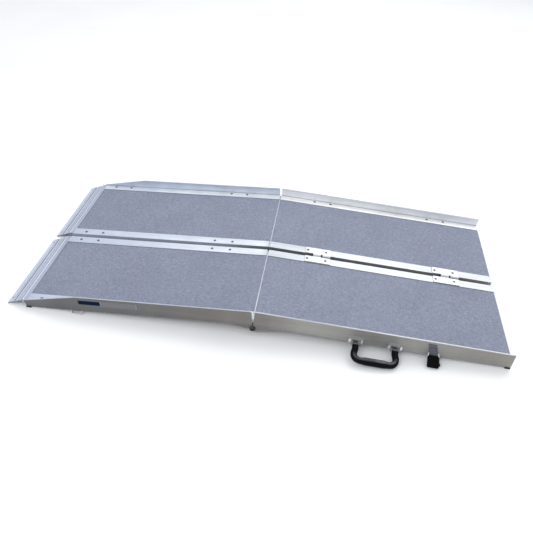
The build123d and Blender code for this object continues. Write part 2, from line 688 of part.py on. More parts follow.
with BuildPart() as carry_handle:
    half_legs = HANDLE_LEGS / 2
    with BuildLine(HANDLE_PLANE) as handle_path:
        FilletPolyline(
            (-half_legs, LEG_START),
            (-half_legs, LEG_ROUND),
            (-SHOULDER[0], SHOULDER[1]),
            (-SHOULDER[0], GRIP_OUT),
            (SHOULDER[0], GRIP_OUT),
            (SHOULDER[0], SHOULDER[1]),
            (half_legs, LEG_ROUND),
            (half_legs, LEG_START),
            radius=HANDLE_CORNER,
        )
    with BuildSketch(reach_plane(HANDLE_PLANE, LEG_START)):
        with Locations((-half_legs, 0)):
            Circle(LEG_RADIUS)
    sweep(path=handle_path.line)
    grip_end = GRIP_HALF + GRIP_TAPER[0]
    with BuildSketch(HANDLE_PLANE):
        with BuildLine():
            Polyline(
                (-grip_end, GRIP_OUT),
                (-grip_end, GRIP_OUT + GRIP_TAPER[1]),
                (-GRIP_HALF, GRIP_OUT + GRIP_RADIUS),
                (GRIP_HALF, GRIP_OUT + GRIP_RADIUS),
                (grip_end, GRIP_OUT + GRIP_TAPER[1]),
                (grip_end, GRIP_OUT),
                close=True,
            )
        make_face()
    grip_line = Axis(HANDLE_PLANE.from_local_coords((0, GRIP_OUT, 0)), HANDLE_PLANE.x_dir)
    revolve(axis=grip_line)
    for side in (-1, 1):
        leg_plane = Plane(HANDLE_PLANE.location * Plane.YZ.offset(side * half_legs).location)
        with BuildSketch(leg_plane):
            for face in (-1, 1):
                with BuildLine():
                    Polyline(
                        (0, face * EYE_RADIUS),
                        (LEG_START, face * EYE_RADIUS),
                        (LEG_ROUND, face * LEG_RADIUS),
                        (LEG_ROUND, face * 2 * LEG_RADIUS),
                        (0, face * 2 * LEG_RADIUS),
                        close=True,
                    )
                make_face()
        extrude(amount=2 * LEG_RADIUS, both=True, mode=Mode.SUBTRACT)
        with BuildSketch(leg_plane):
            Circle(EYE_RADIUS)
            with Locations((LEG_START / 2 + EYE_LAP / 2, 0)):
                Rectangle(LEG_START + EYE_LAP, EYE_NECK)
        extrude(amount=EYE_WIDTH / 2, both=True)
        with BuildSketch(leg_plane):
            Circle(PIN_BORE)
        extrude(amount=EYE_WIDTH, both=True, mode=Mode.SUBTRACT)
write_both_halves(carry_handle, "carry_handle")

with BuildPart() as handle_brackets:
    for centre in BRACKET_CENTRES:
        plate_x = (centre - BRACKET_LENGTH / 2, centre + BRACKET_LENGTH / 2)
        block(LANDING, plate_x, (-OUTER - BRACKET_PLATE, -OUTER), (RAIL_BOTTOM, BRACKET_TOP))
        hood_z = (BRACKET_TOP - BRACKET_PLATE, BRACKET_TOP)
        block(LANDING, plate_x, (-OUTER - HOOD_REACH, -OUTER), hood_z)
        for side in (-1, 1):
            near = centre + side * EAR_INSIDE
            far = near + side * EAR_PLATE
            with BuildSketch(end_view(LANDING, near)):
                with Locations((-OUTER - HANDLE_PIVOT_OUT, HANDLE_PIVOT_Z)):
                    Circle(EYE_RADIUS)
                ear_mid, ear_out = span(-OUTER - HANDLE_PIVOT_OUT, -OUTER)
                ear_z, ear_height = span(RAIL_BOTTOM, BRACKET_TOP)
                with Locations((ear_mid, ear_z)):
                    Rectangle(ear_out, ear_height)
            extrude(amount=far - near)
    for x in BRACKET_RIVETS:
        disc(LANDING, -OUTER, -OUTER - BRACKET_PLATE, x, BRACKET_RIVET_Z, BRACKET_RIVET_HOLE, Mode.SUBTRACT)
    for centre in BRACKET_CENTRES:
        ear_out_x = EAR_INSIDE + EAR_PLATE
        axis_y = -OUTER - HANDLE_PIVOT_OUT
        with BuildSketch(end_view(LANDING, centre - ear_out_x)):
            with Locations((axis_y, HANDLE_PIVOT_Z)):
                Circle(PIN_RADIUS + FIT_GAP)
        extrude(amount=2 * ear_out_x, mode=Mode.SUBTRACT)
        with BuildSketch(end_view(LANDING, centre - ear_out_x - PIN_PROUD)):
            with Locations((axis_y, HANDLE_PIVOT_Z)):
                Circle(PIN_RADIUS)
        extrude(amount=2 * (ear_out_x + PIN_PROUD))
    for x in BRACKET_RIVETS:
        seat = -OUTER - BRACKET_PLATE - FIT_GAP
        disc(LANDING, -OUTER + SIDE_WALL, seat, x, BRACKET_RIVET_Z, BRACKET_RIVET_HOLE - FIT_GAP)
        disc(LANDING, seat, seat - HEAD_RIM, x, BRACKET_RIVET_Z, BRACKET_RIVET_HEAD)
write_both_halves(handle_brackets, "handle_brackets")

# ---------------------------------------------------------------- closing strap and keeper loop

STRAP_TOP_Z = 58.0
TAIL_REACH = 7.0            # strap axis to the buckle
BUCKLE_WIDTH = 35.0
BUCKLE_LENGTH = 37.0
BUCKLE_DEPTH = 9.0
BUCKLE_CORNER = 4.0
BUCKLE_SHOULDER = 5.0       # cut off the two corners where the ring goes in
LATCH = (3.0, 8.0, 11.0)    # press tab at one side: how proud, how long, its middle from the buckle's end
LATCH_DEPTH = 5.0
BUCKLE_FILLET = 2.0
RING_WIRE = 1.5             # radius of the ring's wire; its upper bar is the strap's axis
RING_WIDTH = 35.0
RING_CORNER = 2.5
RING_HOLD = 13.0            # how far the ring's ends reach past the buckle's top
TAIL_HOLD = 12.0            # length of the tail inside the buckle
LOOP_BORE = 1.6             # webbing loop round the ring's bar
LOOP_OUTER = LOOP_BORE + STRAP_THICK
TAIL_CLEAR = 0.4            # webbing loop to tail
STRAP_AXIS_OUT = LOOP_OUTER             # the loop's back lies in the plane of the rail's face
STRAP_AXIS_Z = 25.0
strap_low_x = STRAP_X + BUCKLE_WIDTH / 2
strap_height = (STRAP_AXIS_Z - floor_z(LANDING, strap_low_x)) * cos(LANDING_TILT)
STRAP_REACH = TAIL_REACH + BUCKLE_LENGTH
STRAP_DROOP = droop(strap_height, STRAP_REACH, BUCKLE_DEPTH / 2)
STRAP_PLANE = swung_plane(STRAP_X, STRAP_AXIS_OUT, STRAP_AXIS_Z, STRAP_DROOP)
ring_half = RING_WIDTH / 2 - RING_WIRE

with BuildPart() as strap_webbing:
    low_x = (STRAP_X - STRAP_WIDTH / 2, STRAP_X + STRAP_WIDTH / 2)
    with BuildSketch(side_view(LANDING, -OUTER)):
        with BuildLine():
            Polyline(
                (low_x[0], STRAP_AXIS_Z),
                (low_x[1], STRAP_AXIS_Z),
                (low_x[1] - STRAP_LEAN, STRAP_TOP_Z),
                (low_x[0] - STRAP_LEAN, STRAP_TOP_Z),
                close=True,
            )
        make_face()
    extrude(amount=STRAP_THICK)
    with BuildSketch(end_view(LANDING, low_x[0])):
        with Locations((-OUTER - STRAP_AXIS_OUT, STRAP_AXIS_Z)):
            Circle(LOOP_OUTER)
    extrude(amount=STRAP_WIDTH)
    with BuildSketch(end_view(LANDING, low_x[0])):
        with Locations((-OUTER - STRAP_AXIS_OUT, STRAP_AXIS_Z)):
            Circle(LOOP_BORE)
    extrude(amount=STRAP_WIDTH, mode=Mode.SUBTRACT)
write_both_halves(strap_webbing, "strap_webbing")

with BuildPart() as strap_buckle:
    half = BUCKLE_WIDTH / 2
    with BuildSketch(STRAP_PLANE):
        with BuildLine():
            Polyline(
                (-half, STRAP_REACH),
                (-half, TAIL_REACH + BUCKLE_SHOULDER),
                (-half + BUCKLE_SHOULDER, TAIL_REACH),
                (half - BUCKLE_SHOULDER, TAIL_REACH),
                (half, TAIL_REACH + BUCKLE_SHOULDER),
                (half, STRAP_REACH),
                close=True,
            )
        outline = make_face()
        fillet(outline.vertices().group_by(Axis.Y)[-1], BUCKLE_CORNER)
    extrude(amount=BUCKLE_DEPTH / 2, both=True)
    faces = strap_buckle.faces().filter_by(Axis((0, 0, 0), STRAP_PLANE.z_dir))
    fillet(faces.edges(), BUCKLE_FILLET)
    with BuildSketch(STRAP_PLANE):
        with Locations((half, STRAP_REACH - LATCH[2])):
            Rectangle(2 * LATCH[0], LATCH[1])
    extrude(amount=LATCH_DEPTH / 2, both=True)
    with BuildSketch(STRAP_PLANE):
        with Locations((0, TAIL_REACH + TAIL_HOLD / 2)):
            Rectangle(STRAP_WIDTH + 2 * FIT_GAP, TAIL_HOLD)
    extrude(amount=STRAP_THICK / 2 + FIT_GAP, both=True, mode=Mode.SUBTRACT)
    ring_end = TAIL_REACH + RING_HOLD
    with BuildSketch(reach_plane(STRAP_PLANE, ring_end)):
        with Locations((-ring_half, 0), (ring_half, 0)):
            Circle(RING_WIRE + FIT_GAP)
    extrude(amount=ring_end, mode=Mode.SUBTRACT)
    ring_tip = ring_end - FIT_GAP
    with BuildLine(STRAP_PLANE) as ring_path:
        FilletPolyline(
            (-ring_half, ring_tip),
            (-ring_half, 0),
            (ring_half, 0),
            (ring_half, ring_tip),
            radius=RING_CORNER,
        )
    with BuildSketch(reach_plane(STRAP_PLANE, ring_tip)):
        with Locations((-ring_half, 0)):
            Circle(RING_WIRE)
    sweep(path=ring_path.line)
write_both_halves(strap_buckle, "strap_buckle")

with BuildPart() as strap_tail:
    with BuildSketch(STRAP_PLANE):
        tail_mid, tail_length = span(LOOP_OUTER + TAIL_CLEAR, TAIL_REACH + TAIL_HOLD - FIT_GAP)
        with Locations((0, tail_mid)):
            Rectangle(STRAP_WIDTH, tail_length)
    extrude(amount=STRAP_THICK / 2, both=True)
write_both_halves(strap_tail, "strap_tail")


LOOP_CORNER = 5.0
LOOP_ROOT = 4.0             # wire above the rail's lower edge, before it is cut flush with it
with BuildPart() as keeper_loop:
    lean = Location((LOOP_X, -OUTER + SIDE_WALL / 2, RAIL_BOTTOM), (90 - LOOP_SPLAY, 0, 0))
    LOOP_PLANE = Plane(ENTRY.location * lean)
    wire_half = LOOP_WIDTH / 2 - LOOP_WIRE
    with BuildLine(LOOP_PLANE) as loop_path:
        FilletPolyline(
            (-wire_half, LOOP_ROOT),
            (-wire_half, LOOP_WIRE - LOOP_REACH),
            (wire_half, LOOP_WIRE - LOOP_REACH),
            (wire_half, LOOP_ROOT),
            radius=LOOP_CORNER,
        )
    with BuildSketch(Plane(LOOP_PLANE.location * Plane.XZ.offset(-LOOP_ROOT).location)):
        with Locations((-wire_half, 0)):
            Circle(LOOP_WIRE)
    sweep(path=loop_path.line)
    with BuildSketch(top_view(ENTRY, RAIL_BOTTOM)):
        with Locations((LOOP_X, -OUTER)):
            Rectangle(2 * LOOP_WIDTH, LOOP_WIDTH)
    extrude(amount=2 * LOOP_ROOT, mode=Mode.SUBTRACT)
write_both_halves(keeper_loop, "keeper_loop")

# ---------------------------------------------------------------- feet and labels

FOOT_LENGTH = 16.0
FOOT_WALL = 1.5
FOOT_TOP = 15.5


def foot(section, x_range, web_y):
    """Rubber shoe over a web's lower edge, with its sole in the plane of the floor."""
    low, high = x_range
    with BuildSketch(side_view(section, web_y[1] + FOOT_WALL)) as outline:
        with BuildLine():
            Polyline(
                (low, floor_z(section, low)),
                (low, FOOT_TOP),
                (high, FOOT_TOP),
                (high, floor_z(section, high)),
                close=True,
            )
        make_face()
    extrude(outline.sketch, amount=web_y[1] - web_y[0] + 2 * FOOT_WALL)
    with BuildSketch(side_view(section, web_y[1])) as outline:
        with Locations((span(*x_range)[0], (RAIL_BOTTOM + RAIL_TOP) / 2)):
            Rectangle(2 * FOOT_LENGTH, RAIL_TOP - RAIL_BOTTOM)
    extrude(outline.sketch, amount=web_y[1] - web_y[0], mode=Mode.SUBTRACT)


SIDE_WEB = (-OUTER, -OUTER + SIDE_WALL)
CENTRE_WEB = (-INNER - CENTRE_WALL, -INNER)
with BuildPart() as entry_feet:
    foot(ENTRY, (RAIL_TIP, RAIL_TIP + FOOT_LENGTH), SIDE_WEB)
    foot(ENTRY, (RAIL_TIP, RAIL_TIP + FOOT_LENGTH), CENTRE_WEB)
write_both_halves(entry_feet, "entry_feet")

with BuildPart() as landing_feet:
    foot(LANDING, (LANDING_LENGTH - FOOT_LENGTH, LANDING_LENGTH), SIDE_WEB)
    foot(LANDING, (LANDING_LENGTH - FOOT_LENGTH, LANDING_LENGTH), CENTRE_WEB)
write_both_halves(landing_feet, "landing_feet")

LABEL = 0.3
LABEL_BLUE = (-551.0, -480.0, 40.5, 55.5)       # x from, x to, z from, z to
LABEL_PALE = (-479.0, -362.0, 37.0, 58.0)


def label_sheet(place):
    """Thin sticker on the outside of the right entry rail."""
    block(ENTRY, place[0:2], (-OUTER - LABEL, -OUTER), place[2:4])


with BuildPart() as blue_label:
    label_sheet(LABEL_BLUE)
write_part(blue_label, "blue_label")

with BuildPart() as pale_label:
    label_sheet(LABEL_PALE)
write_part(pale_label, "pale_label")
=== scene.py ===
import json
from math import cos, pi, radians, sin

import bmesh
import bpy
from mathutils import Matrix, Vector


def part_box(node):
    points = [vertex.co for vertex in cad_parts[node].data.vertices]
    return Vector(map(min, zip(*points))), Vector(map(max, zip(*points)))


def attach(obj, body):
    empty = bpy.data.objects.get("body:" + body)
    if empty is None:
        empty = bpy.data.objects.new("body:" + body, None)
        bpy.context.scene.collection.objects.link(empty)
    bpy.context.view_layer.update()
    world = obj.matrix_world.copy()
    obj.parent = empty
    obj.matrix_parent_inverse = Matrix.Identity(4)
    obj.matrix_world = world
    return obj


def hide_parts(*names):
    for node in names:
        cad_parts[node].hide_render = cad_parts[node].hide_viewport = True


# Looks for the portable wheelchair ramp. Metres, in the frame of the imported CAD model:
# +X from the transition plates to the square end, +Y to the left half, z = 0 on the floor.

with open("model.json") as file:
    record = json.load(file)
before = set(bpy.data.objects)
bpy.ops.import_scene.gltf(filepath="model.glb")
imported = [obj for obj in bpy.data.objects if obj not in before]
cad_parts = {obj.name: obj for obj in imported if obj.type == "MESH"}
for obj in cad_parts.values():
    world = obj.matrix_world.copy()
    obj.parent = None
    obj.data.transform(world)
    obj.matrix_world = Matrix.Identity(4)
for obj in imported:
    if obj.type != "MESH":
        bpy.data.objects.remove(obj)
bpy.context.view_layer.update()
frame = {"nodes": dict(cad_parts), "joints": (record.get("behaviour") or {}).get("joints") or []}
nodes = frame["nodes"]
joints = {joint["name"]: joint for joint in frame["joints"]}

SIDES = (("right", -1), ("left", 1))


# ---------------------------------------------------------------- camera, floor and light

CAMERA_PLACE = (0.1684, -1.6549, 1.2867)
CAMERA_YAW = radians(-5.76)         # turned from +Y towards +X
CAMERA_PITCH = radians(38.01)       # looking down
CAMERA_ROLL = radians(3.24)
CAMERA_LENS = 39.44
SENSOR = 36.0


def make_camera():
    data = bpy.data.cameras.new("camera")
    data.lens = CAMERA_LENS
    data.sensor_width = SENSOR
    data.clip_start = 0.05
    data.clip_end = 60
    camera = bpy.data.objects.new("camera", data)
    turn = Matrix.Rotation(-CAMERA_YAW, 4, "Z")
    tilt = Matrix.Rotation(radians(90) - CAMERA_PITCH, 4, "X")
    roll = Matrix.Rotation(CAMERA_ROLL, 4, "Z")
    camera.matrix_world = Matrix.Translation(CAMERA_PLACE) @ turn @ tilt @ roll
    bpy.context.scene.collection.objects.link(camera)
    bpy.context.scene.camera = camera


def area_light(name, place, target, size, power, color=(1, 1, 1)):
    data = bpy.data.lights.new(name, "AREA")
    data.shape = "RECTANGLE"
    data.size, data.size_y = size
    data.energy = power
    data.color = color
    light = bpy.data.objects.new(name, data)
    light.location = place
    aim = Vector(target) - Vector(place)
    light.rotation_euler = aim.to_track_quat("-Z", "Y").to_euler()
    bpy.context.scene.collection.objects.link(light)


WORLD_COLOR = (0.94, 0.965, 1.0, 1)
WORLD_STRENGTH = 0.92
# Each panel: place, point it faces, size, watts, colour.
BACK_PANEL = ((1.5, 2.1, 2.9), (0.35, 0, 0), (2.8, 2.4), 62, (1.0, 0.99, 0.97))
FRONT_PANEL = ((-1.2, -2.6, 2.6), (0, 0, 0), (1.6, 1.2), 30)
FLOOR_REACH = 30.0          # half the width of the floor


def make_studio():
    """A pale sky all round, a large panel behind the ramp and a weaker one before it."""
    scene = bpy.context.scene
    scene.view_settings.view_transform = "Standard"
    world = bpy.data.worlds.new("studio")
    scene.world = world
    world.use_nodes = True
    background = world.node_tree.nodes["Background"]
    background.inputs["Color"].default_value = WORLD_COLOR
    background.inputs["Strength"].default_value = WORLD_STRENGTH
    area_light("back_panel", *BACK_PANEL)
    area_light("front_panel", *FRONT_PANEL)


# ---------------------------------------------------------------- node materials

class Shader:
    """A small helper that adds and links the nodes of one procedural material."""

    def __init__(self, name):
        self.material = bpy.data.materials.new(name)
        self.material.use_nodes = True
        self.tree = self.material.node_tree
        self.surface = self.tree.nodes["Principled BSDF"]

    def set(self, **values):
        for socket, value in values.items():
            self.surface.inputs[socket.replace("_", " ")].default_value = value
        return self

    def node(self, kind, inputs=None, **settings):
        made = self.tree.nodes.new(kind)
        for key, value in settings.items():
            setattr(made, key, value)
        for socket, value in (inputs or {}).items():
            if isinstance(value, bpy.types.NodeSocket):
                self.tree.links.new(value, made.inputs[socket])
            else:
                made.inputs[socket].default_value = value
        return made

    def link(self, output, socket):
        self.tree.links.new(output, self.surface.inputs[socket])

    def place(self, stretch=(1, 1, 1)):
        """Object coordinates in metres, stretched along each axis."""
        coordinates = self.node("ShaderNodeTexCoord").outputs["Object"]
        return self.node("ShaderNodeMapping", {"Vector": coordinates, "Scale": stretch}).outputs["Vector"]

    def split(self, vector):
        """The X, Y and Z of a vector."""
        return self.node("ShaderNodeSeparateXYZ", {"Vector": vector}).outputs

    def number(self, operation, first, second=0.5):
        """One step of arithmetic on numbers."""
        return self.node("ShaderNodeMath", {0: first, 1: second}, operation=operation).outputs[0]

    def vector(self, operation, first, second=(0, 0, 0), output="Vector"):
        """One step of arithmetic on vectors."""
        made = self.node("ShaderNodeVectorMath", {0: first, 1: second}, operation=operation)
        return made.outputs[output]

    def spread(self, value, low, high, to_low=0.0, to_high=1.0):
        """A value carried from one range to another, and kept inside it."""
        inputs = {"Value": value, "From Min": low, "From Max": high, "To Min": to_low, "To Max": to_high}
        return self.node("ShaderNodeMapRange", inputs).outputs["Result"]

    def noise(self, place, scale, detail=3.0, roughness=0.55):
        inputs = {"Vector": place, "Scale": scale, "Detail": detail, "Roughness": roughness}
        return self.node("ShaderNodeTexNoise", inputs).outputs["Fac"]

    def ramp(self, value, stops):
        """A colour ramp; each stop is (position, colour) or (position, grey)."""
        made = self.node("ShaderNodeValToRGB", {"Fac": value})
        elements = made.color_ramp.elements
        while len(elements) < len(stops):
            elements.new(0.5)
        for element, (position, color) in zip(elements, stops):
            element.position = position
            grey = not isinstance(color, (tuple, list))
            element.color = (color, color, color, 1) if grey else (*color, 1)
        return made.outputs["Color"]

    def mix(self, factor, first, second, blend="MIX"):
        made = self.node("ShaderNodeMix", data_type="RGBA", blend_type=blend)
        for socket, value in ((0, factor), (6, first), (7, second)):
            if isinstance(value, bpy.types.NodeSocket):
                self.tree.links.new(value, made.inputs[socket])
            elif socket == 0:
                made.inputs[0].default_value = value
            else:
                made.inputs[socket].default_value = (*value, 1)
        return made.outputs[2]

    def painted_crevice_shade(self, reach=0.004, darkest=0.35):
        """Painted shade where surfaces meet closely: less than 1 in corners and grooves."""
        shelter = self.node("ShaderNodeAmbientOcclusion", {"Distance": reach}, samples=8, only_local=False)
        return self.ramp(shelter.outputs["AO"], [(0.35, darkest), (0.85, 1.0)])

    def bump(self, height, distance, strength=1.0, normal=None):
        inputs = {"Height": height, "Distance": distance, "Strength": strength}
        if normal is not None:
            inputs["Normal"] = normal
        return self.node("ShaderNodeBump", inputs).outputs["Normal"]


def scaled(color, factor):
    return tuple(channel * factor for channel in color)


RAMP_HALF = 0.8             # tones along the ramp run from -X to +X over twice this, in metres
EDGE_FROM = 0.366           # from the middle of the seam to the narrow tops of the side rails


def drawn_aluminium(name, top, side=None, outer=None, facing=0, edge=None, roughness=0.4, along="X",
                    streak=0.10, mottle=0.10):
    """Extruded aluminium: fine lines along the drawing direction, clouding, scuffs and painted shade in
    corners.

    The upper faces have the first tone and the upright faces the second, lit and shaded copies of one
    metal: painted light and shade. Each may be one colour, or stops along the ramp, whose rise and fall
    is painted light and shade. Where an outer tone is given it is the outside of a rail, painted darker as
    a reflection of a dark ground, whose outward normal points to this side along Y, and the edge tone is
    the rail's narrow top, painted light and shade as well.
    """
    shader = Shader(name)
    place = shader.split(shader.place())
    along_ramp = shader.spread(place["X"], -RAMP_HALF, RAMP_HALF)

    def tone_of(value):
        return shader.ramp(along_ramp, value) if isinstance(value, list) else value

    stretch = {"X": (1, 55, 55), "Y": (55, 1, 55)}[along]
    lines = shader.noise(shader.place(stretch), 6.0, 6.0, 0.7)
    broad = shader.noise(shader.place(stretch), 1.3, 2.0)
    cloud = shader.noise(shader.place(), 11.0, 5.0, 0.6)
    scuff = shader.noise(shader.place(), 160.0, 4.0, 0.7)
    normal = shader.split(shader.node("ShaderNodeTexCoord").outputs["Normal"])
    upward = shader.spread(normal["Z"], 0.55, 0.85)
    top_tone = tone_of(top)
    # The rail's narrow top takes its own tone: painted light and shade.
    if edge:
        across = shader.number("ABSOLUTE", place["Y"])
        on_edge = shader.number("GREATER_THAN", across, EDGE_FROM)
        top_tone = shader.mix(on_edge, top_tone, tone_of(edge))
    # Upper and upright faces take different tones of one metal: painted light and shade.
    tone = shader.mix(upward, tone_of(side or top), top_tone)
    shader.link(shader.spread(upward, 0.0, 1.0, 0.45, 0.65), "Metallic")
    if outer:
        # The outward face of a rail is painted darker: a painted reflection of a dark ground.
        outward = shader.number("MULTIPLY", normal["Y"], facing)
        painted_outside_shade = shader.spread(outward, 0.5, 0.8)
        tone = shader.mix(painted_outside_shade, tone, tone_of(outer))
    factor = shader.ramp(lines, [(0.30, 1 - streak), (0.72, 1 + streak * 0.6)])
    shade = shader.ramp(broad, [(0.35, 1 - streak), (0.65, 1.0)])
    haze = shader.ramp(cloud, [(0.30, 1 - mottle), (0.70, 1.0)])
    # Painted shade in corners and grooves darkens the tone, along with the streaks and clouding.
    for layer in (factor, shade, haze, shader.painted_crevice_shade()):
        tone = shader.mix(1.0, tone, layer, "MULTIPLY")
    shader.link(tone, "Base Color")
    rough = shader.ramp(lines, [(0.25, roughness - 0.07), (0.75, roughness + 0.09)])
    marks = shader.ramp(scuff, [(0.62, 0.0), (0.75, 0.10)])
    shader.link(shader.mix(1.0, rough, marks, "ADD"), "Roughness")
    shader.link(shader.bump(lines, 0.00006, 0.5), "Normal")
    return shader.material


SHADE_BLEND = 0.002          # the painted shade comes in over this width


def sheet_aluminium(name, color, roughness, shaded_from=None):
    """Rolled or bent aluminium and plated steel: faint clouding, pits and handling marks.

    Further than the given distance from the middle of the seam it is painted dark as shade.
    """
    shader = Shader(name).set(Metallic=1.0)
    cloud = shader.noise(shader.place(), 35.0, 5.0, 0.65)
    pits = shader.noise(shader.place(), 900.0, 2.0)
    tone = shader.ramp(cloud, [(0.3, scaled(color, 0.86)), (0.7, scaled(color, 1.04))])
    if shaded_from:
        # Painted shade: past this distance from the seam the colour is darkened.
        across = shader.number("ABSOLUTE", shader.split(shader.place())["Y"])
        painted_shade = shader.spread(across, shaded_from, shaded_from + SHADE_BLEND)
        tone = shader.mix(painted_shade, tone, scaled(color, 0.28))
    shader.link(tone, "Base Color")
    shader.link(shader.ramp(cloud, [(0.3, roughness + 0.08), (0.7, roughness - 0.05)]), "Roughness")
    shader.link(shader.bump(pits, 0.00004, 0.5), "Normal")
    return shader.material


def grit_tread():
    """Grey-blue mineral grit: coarse grains with light and dark specks, over a slightly uneven coat."""
    shader = Shader("grit_tread").set(Roughness=0.9)
    shader.surface.inputs["Specular IOR Level"].default_value = 0.35
    place = shader.place()
    cells = shader.node("ShaderNodeTexVoronoi", {"Vector": place, "Scale": 620.0})
    grain = shader.noise(place, 850.0, 3.0, 0.7)
    blotch = shader.noise(place, 110.0, 4.0, 0.6)
    patch = shader.noise(place, 7.0, 3.0)
    grains_tone = [(0.30, (0.130, 0.148, 0.208)), (0.5, (0.235, 0.256, 0.336)), (0.72, (0.40, 0.42, 0.50))]
    tone = shader.ramp(grain, grains_tone)
    spots = shader.noise(place, 260.0, 2.0, 0.6)
    blotches = shader.ramp(blotch, [(0.30, 0.80), (0.55, 0.98), (0.75, 1.14)])
    patches = shader.ramp(patch, [(0.30, 0.93), (0.70, 1.04)])
    spots_tint = [(0.32, (0.86, 0.92, 0.92)), (0.52, (0.98, 0.98, 0.98)), (0.70, (1.12, 1.06, 1.08))]
    tint = shader.ramp(spots, spots_tint)
    specks = shader.ramp(cells.outputs["Color"], [(0.80, 0.0), (0.97, 0.16)])
    tone = shader.mix(1.0, tone, blotches, "MULTIPLY")
    tone = shader.mix(1.0, tone, patches, "MULTIPLY")
    tone = shader.mix(1.0, tone, tint, "MULTIPLY")
    tone = shader.mix(1.0, tone, specks, "ADD")
    shader.link(tone, "Base Color")
    grains = shader.bump(cells.outputs["Distance"], 0.0006, 0.8)
    shader.link(shader.bump(grain, 0.0005, 0.6, grains), "Normal")
    return shader.material


def moulded_plastic(name, color, roughness, grain=1500.0, gloss=0.3):
    """Moulded plastic or rubber with a fine spark-eroded texture."""
    shader = Shader(name)
    shader.surface.inputs["Specular IOR Level"].default_value = gloss
    place = shader.place()
    fine = shader.noise(place, grain, 2.0)
    cloud = shader.noise(place, 60.0, 4.0)
    tone = shader.ramp(cloud, [(0.3, scaled(color, 0.75)), (0.7, scaled(color, 1.35))])
    shader.link(tone, "Base Color")
    shader.link(shader.ramp(cloud, [(0.3, roughness - 0.05), (0.7, roughness + 0.08)]), "Roughness")
    shader.link(shader.bump(fine, 0.00012, 0.5), "Normal")
    return shader.material


def from_axis(shader, place, joint):
    """How far a point lies from a joint's axis, and how far along it from the joint's place."""
    offset = shader.vector("SUBTRACT", place, joint["pos_m"])
    arm = shader.vector("CROSS_PRODUCT", offset, joint["axis"])
    reach = shader.vector("LENGTH", arm, output="Value")
    along = shader.vector("DOT_PRODUCT", offset, joint["axis"], output="Value")
    return reach, along


EYE_EDGE = 0.0064           # the steel eyes end this far from the handle's pivot axis
GRIP_BAND = (0.034, 0.050)  # the painted highlight along the top of the grip fades in over these distances from the axis
EYE_STEEL = (0.13, 0.13, 0.135)


# The colour of the painted highlight along the top of the grip.
PAINTED_HIGHLIGHT_TONE = (0.15, 0.155, 0.17)


def handle_material(joint):
    """Black moulding, with a painted highlight along the top of the grip and steel eyes round the pivot
    pins.
    """
    shader = Shader(joint["child"] + "_plastic")
    shader.surface.inputs["Specular IOR Level"].default_value = 0.05
    place = shader.place()
    reach, _ = from_axis(shader, place, joint)
    steel = shader.number("LESS_THAN", reach, EYE_EDGE)
    on_grip = shader.spread(reach, *GRIP_BAND)
    normal = shader.split(shader.node("ShaderNodeTexCoord").outputs["Normal"])
    # Faces that point up along the grip are painted paler: a painted highlight.
    upper = shader.ramp(normal["Z"], [(0.80, 0.0), (0.985, 1.0)])
    patchy = shader.ramp(shader.noise(place, 45.0, 4.0), [(0.3, 0.35), (0.7, 1.0)])
    painted_highlight = shader.mix(1.0, upper, patchy, "MULTIPLY")
    painted_highlight = shader.mix(1.0, painted_highlight, on_grip, "MULTIPLY")
    cloud = shader.noise(place, 60.0, 4.0)
    black = shader.ramp(cloud, [(0.3, 0.0028), (0.7, 0.0055)])
    tone = shader.mix(painted_highlight, black, PAINTED_HIGHLIGHT_TONE)
    shader.link(shader.mix(steel, tone, EYE_STEEL), "Base Color")
    shader.link(steel, "Metallic")
    shader.link(shader.ramp(cloud, [(0.3, 0.27), (0.7, 0.38)]), "Roughness")
    shader.link(shader.bump(shader.noise(place, 1500.0, 2.0), 0.0001, 0.45), "Normal")
    return shader.material


def woven_webbing():
    """Black webbing: ribs across the strap and a chevron of threads."""
    shader = Shader("woven_webbing").set(Sheen_Weight=0.25, Sheen_Roughness=0.5)
    place = shader.place()
    ribs, picks = (
        shader.node("ShaderNodeTexWave", {"Vector": place, "Scale": scale, "Distortion": distortion,
                                          "Detail": 2.0}, bands_direction=direction).outputs["Fac"]
        for scale, distortion, direction in ((110.0, 0.6, "X"), (260.0, 0.8, "Z")))
    weave = shader.mix(0.5, ribs, picks, "MULTIPLY")
    shader.link(shader.ramp(weave, [(0.2, (0.045, 0.048, 0.066)), (0.8, (0.15, 0.16, 0.21))]), "Base Color")
    shader.link(shader.ramp(weave, [(0.2, 0.9), (0.8, 0.7)]), "Roughness")
    shader.link(shader.bump(weave, 0.0004, 0.9), "Normal")
    return shader.material


def vinyl_label(name, color, edge, low, high, border):
    """A blank sticker with a plain border at its two ends, unevenly worn."""
    shader = Shader(name).set(Roughness=0.35)
    shader.surface.inputs["Specular IOR Level"].default_value = 0.04
    middle = (low[0] + high[0]) / 2
    half = (high[0] - low[0]) / 2
    along = shader.number("SUBTRACT", shader.split(shader.place())["X"], middle)
    inside = shader.number("LESS_THAN", shader.number("ABSOLUTE", along), half - border)
    wear = shader.noise(shader.place(), 220.0, 5.0, 0.7)
    tone = shader.mix(inside, edge, color)
    tone = shader.mix(1.0, tone, shader.ramp(wear, [(0.3, 0.8), (0.7, 1.1)]), "MULTIPLY")
    shader.link(tone, "Base Color")
    shader.link(shader.bump(wear, 0.00003, 0.3), "Normal")
    return shader.material


RING_STEEL = (0.86, 0.86, 0.88)
BUCKLE_TOP = 0.0070         # the buckle starts this far from the swing axis
SHOULDER_OFFSET = 0.0058    # outside its cut corners, distance across less distance out is more than this
SHOULDER_END = 0.0125       # and its full width starts here
RING_ROUGHNESS = (0.18, 0.18, 0.18)


